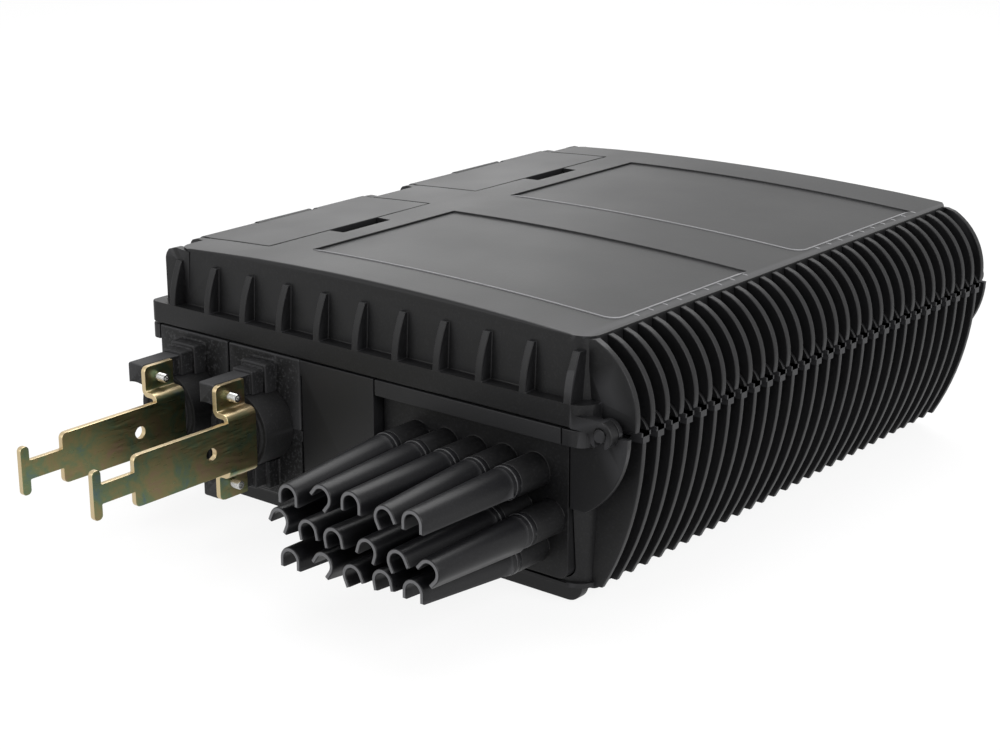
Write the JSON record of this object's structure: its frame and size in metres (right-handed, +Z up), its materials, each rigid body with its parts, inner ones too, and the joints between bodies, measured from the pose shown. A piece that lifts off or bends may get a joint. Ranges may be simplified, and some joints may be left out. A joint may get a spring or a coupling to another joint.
{
  "type": "fibre splice closure",
  "caption": "Finned black fibre splice closure with a hinged latched lid, split main cable ports with steel brackets, drop cable plugs and splice trays inside.",
  "frame": {"origin": "middle of the four fixing inserts, on the plane that the runners rest on", "axes": "+X towards the hinge side, -Y the way the cables leave, +Z up out of the lid"},
  "size_m": [0.2623, 0.4195, 0.117],
  "materials": {
    "housing_plastic": "fine grain, black",
    "plug_plastic": "satin, black",
    "rubber": "matte, black",
    "zinc_steel": "yellow passivated zinc",
    "steel": "plain",
    "tray_plastic": "satin, pale grey",
    "grey_plastic": "satin, grey",
    "adapter_green": "gloss, green",
    "cap_plastic": "gloss, white",
    "clear_sheet": "clear",
    "brass": "knurled"
  },
  "bodies": {
    "base": {"base_housing": "housing_plastic", "cable_port_1_lower": "housing_plastic", "cable_port_1_upper": "housing_plastic", "cable_port_2_lower": "housing_plastic", "cable_port_2_upper": "housing_plastic", "cable_grommet_1": "rubber", "cable_grommet_2": "rubber", "cable_bracket_1": "zinc_steel", "cable_bracket_2": "zinc_steel", "bracket_screws": "steel", "drop_port_block": "housing_plastic", "drop_plug_01": "plug_plastic", "drop_plug_02": "plug_plastic", "drop_plug_03": "plug_plastic", "drop_plug_04": "plug_plastic", "drop_plug_05": "plug_plastic", "drop_plug_06": "plug_plastic", "drop_plug_07": "plug_plastic", "drop_plug_08": "plug_plastic", "drop_plug_09": "plug_plastic", "drop_plug_10": "plug_plastic", "drop_plug_11": "plug_plastic", "drop_plug_12": "plug_plastic", "drop_plug_13": "plug_plastic", "drop_plug_14": "plug_plastic", "drop_plug_15": "plug_plastic", "drop_plug_16": "plug_plastic", "fibre_deck": "tray_plastic", "tray_holder": "tray_plastic", "splice_tray_1": "tray_plastic", "splice_tray_2": "tray_plastic", "splice_tray_3": "tray_plastic", "splice_combs": "rubber", "tray_cover": "clear_sheet", "splitter_module": "grey_plastic", "adapter_panel": "grey_plastic", "adapters": "adapter_green", "adapter_caps": "cap_plastic", "cable_clamp_1": "housing_plastic", "cable_clamp_2": "housing_plastic", "clamp_strap_1": "steel", "clamp_strap_2": "steel", "clamp_screws": "steel", "mount_inserts": "brass"},
    "lid": {"lid_cover": "housing_plastic", "lid_gasket": "rubber", "latch_pivot_pins": "steel"},
    "lever_front": {"latch_lever_front": "housing_plastic", "latch_link_pin_front": "steel"},
    "lever_rear": {"latch_lever_rear": "housing_plastic", "latch_link_pin_rear": "steel"},
    "link_front": {"latch_link_front": "housing_plastic"},
    "link_rear": {"latch_link_rear": "housing_plastic"}
  },
  "joints": [
    {"name": "lid_hinge", "type": "hinge", "parent": "base", "child": "lid", "pos_m": [0.1264, 0, 0.0785], "axis": [0, 1, 0], "range_deg": [0, 110]},
    {"name": "latch_lever_front_turn", "type": "hinge", "parent": "lid", "child": "lever_front", "pos_m": [-0.1202, 0, 0.1086], "axis": [0, -1, 0], "range_deg": [0, 105]},
    {"name": "latch_link_front_turn", "type": "hinge", "parent": "lever_front", "child": "link_front", "pos_m": [-0.12245, 0, 0.1099], "axis": [0, -1, 0], "range_deg": [-118, 0]},
    {"name": "latch_lever_rear_turn", "type": "hinge", "parent": "lid", "child": "lever_rear", "pos_m": [-0.1202, 0, 0.1086], "axis": [0, -1, 0], "range_deg": [0, 105]},
    {"name": "latch_link_rear_turn", "type": "hinge", "parent": "lever_rear", "child": "link_rear", "pos_m": [-0.12245, 0, 0.1099], "axis": [0, -1, 0], "range_deg": [-118, 0]}
  ],
  "couplings": [
    {"joint": "latch_link_front_turn", "follows": "latch_lever_front_turn", "ratio": -1.12},
    {"joint": "latch_link_rear_turn", "follows": "latch_lever_rear_turn", "ratio": -1.12}
  ]
}
